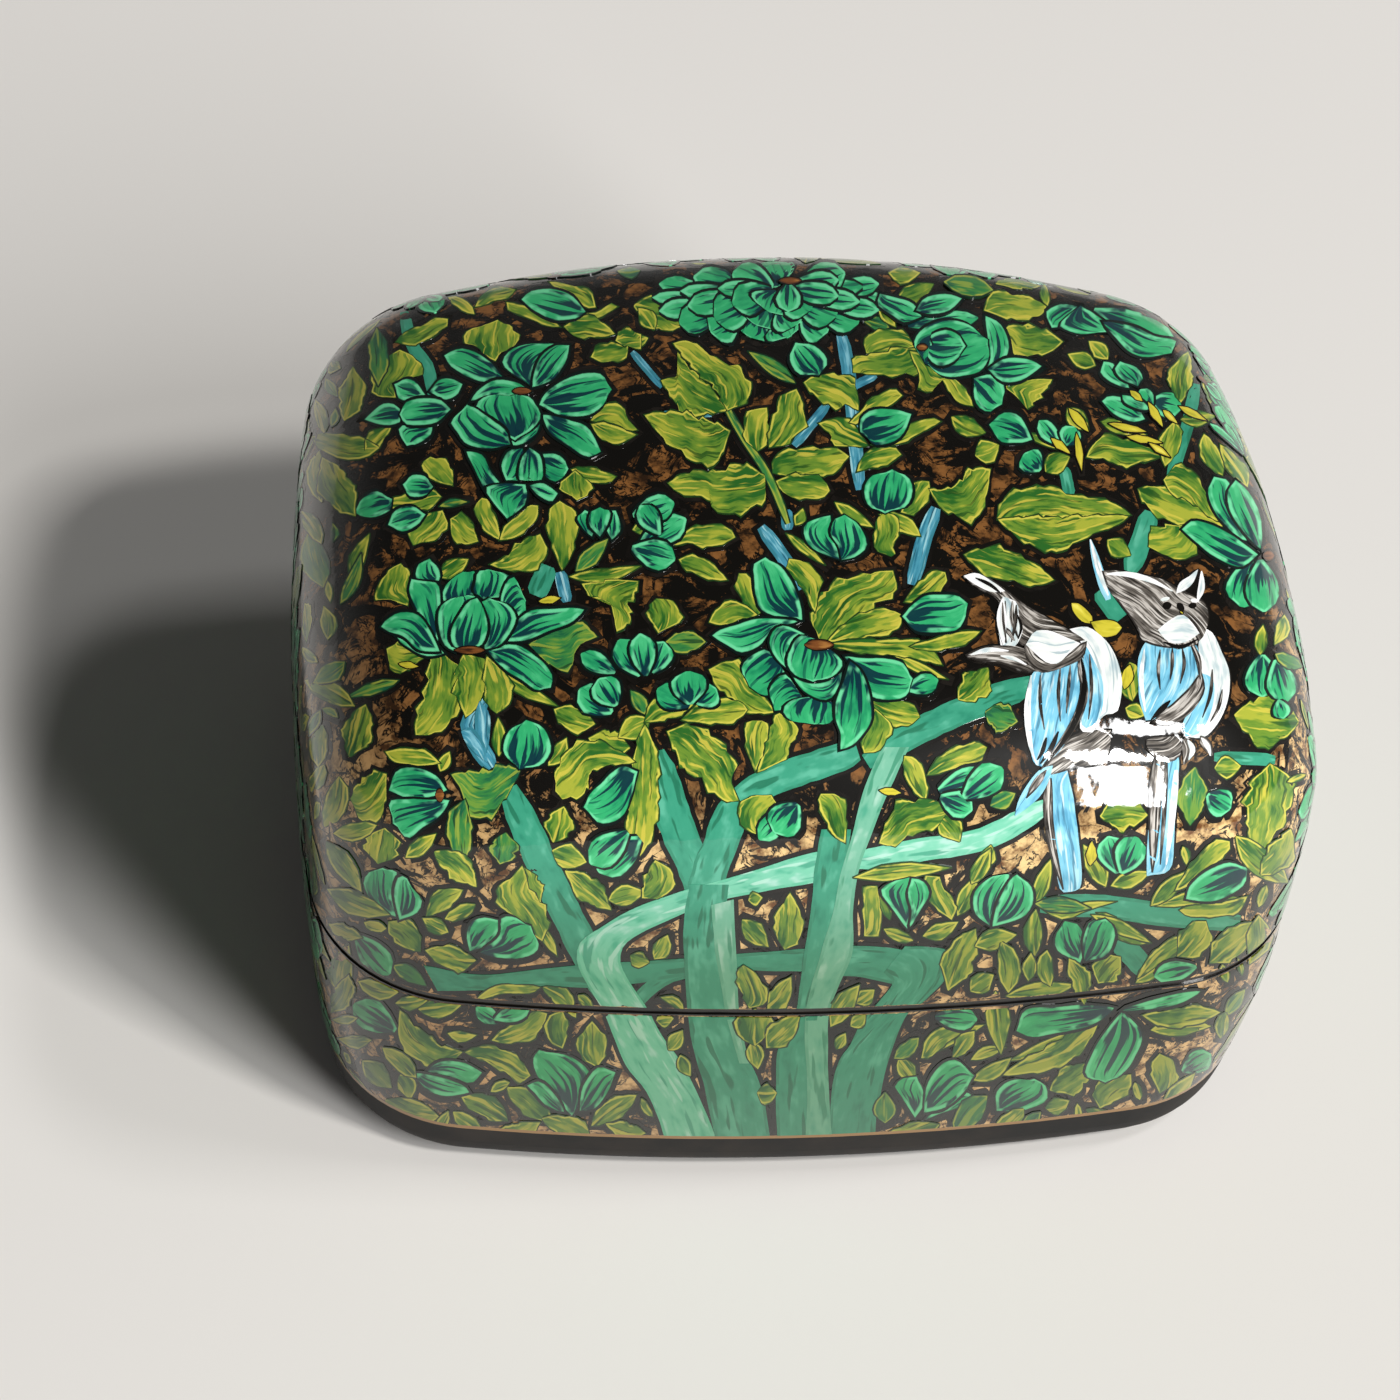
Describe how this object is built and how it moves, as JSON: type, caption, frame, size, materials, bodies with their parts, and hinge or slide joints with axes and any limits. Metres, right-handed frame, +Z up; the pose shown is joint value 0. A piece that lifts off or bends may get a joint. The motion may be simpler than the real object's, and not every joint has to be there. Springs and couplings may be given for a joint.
{
  "type": "lacquer box",
  "caption": "Domed rectangular papier-mache box with a lift-off lid over an inner collar, painted with flowers, leaves and birds under gloss varnish.",
  "frame": {"origin": "middle of the flat underside, on the surface that the box stands on", "axes": "+X along the width to the right seen from the front, +Y to the back, +Z up"},
  "size_m": [0.126, 0.105, 0.079],
  "materials": {
    "painted_lacquer": "hand-painted flower ground under clear varnish, high gloss",
    "chalk_ground": "chalk and glue ground, matt",
    "papier_mache": "pressed paper pulp, matt",
    "black_lacquer": "black lacquer, gloss"
  },
  "bodies": {
    "base": {"base_painted_coat": "painted_lacquer", "base_chalk_ground": "chalk_ground", "base_pulp_shell": "papier_mache", "base_lining": "black_lacquer", "locating_collar": "black_lacquer", "foot_coat": "black_lacquer"},
    "lid": {"lid_painted_coat": "painted_lacquer", "lid_chalk_ground": "chalk_ground", "lid_pulp_shell": "papier_mache", "lid_lining": "black_lacquer"}
  },
  "joints": [
    {"name": "lid_lift", "type": "slide", "parent": "base", "child": "lid", "axis": [0, 0, 1], "range_m": [0, 0.09]}
  ]
}
